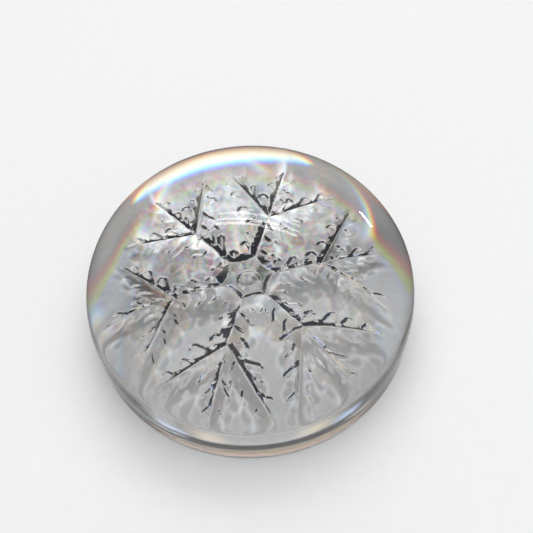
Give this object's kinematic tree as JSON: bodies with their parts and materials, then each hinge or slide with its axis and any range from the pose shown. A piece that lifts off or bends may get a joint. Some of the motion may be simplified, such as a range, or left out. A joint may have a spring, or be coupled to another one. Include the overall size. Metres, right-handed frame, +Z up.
{
  "type": "paperweight",
  "caption": "Solid clear glass dome paperweight with a snowflake pressed into its shallow hollow underside and magnified by the crown.",
  "frame": {"origin": "centre of the flat ring it rests on, where the axis of the dome meets the table", "axes": "+Z up along the dome's axis, +X along one arm of the snowflake"},
  "size_m": [0.08, 0.08, 0.0378],
  "materials": {
    "clear_glass": "polished, colourless"
  },
  "bodies": {
    "root": {"crystal_dome": "clear_glass"}
  },
  "joints": []
}
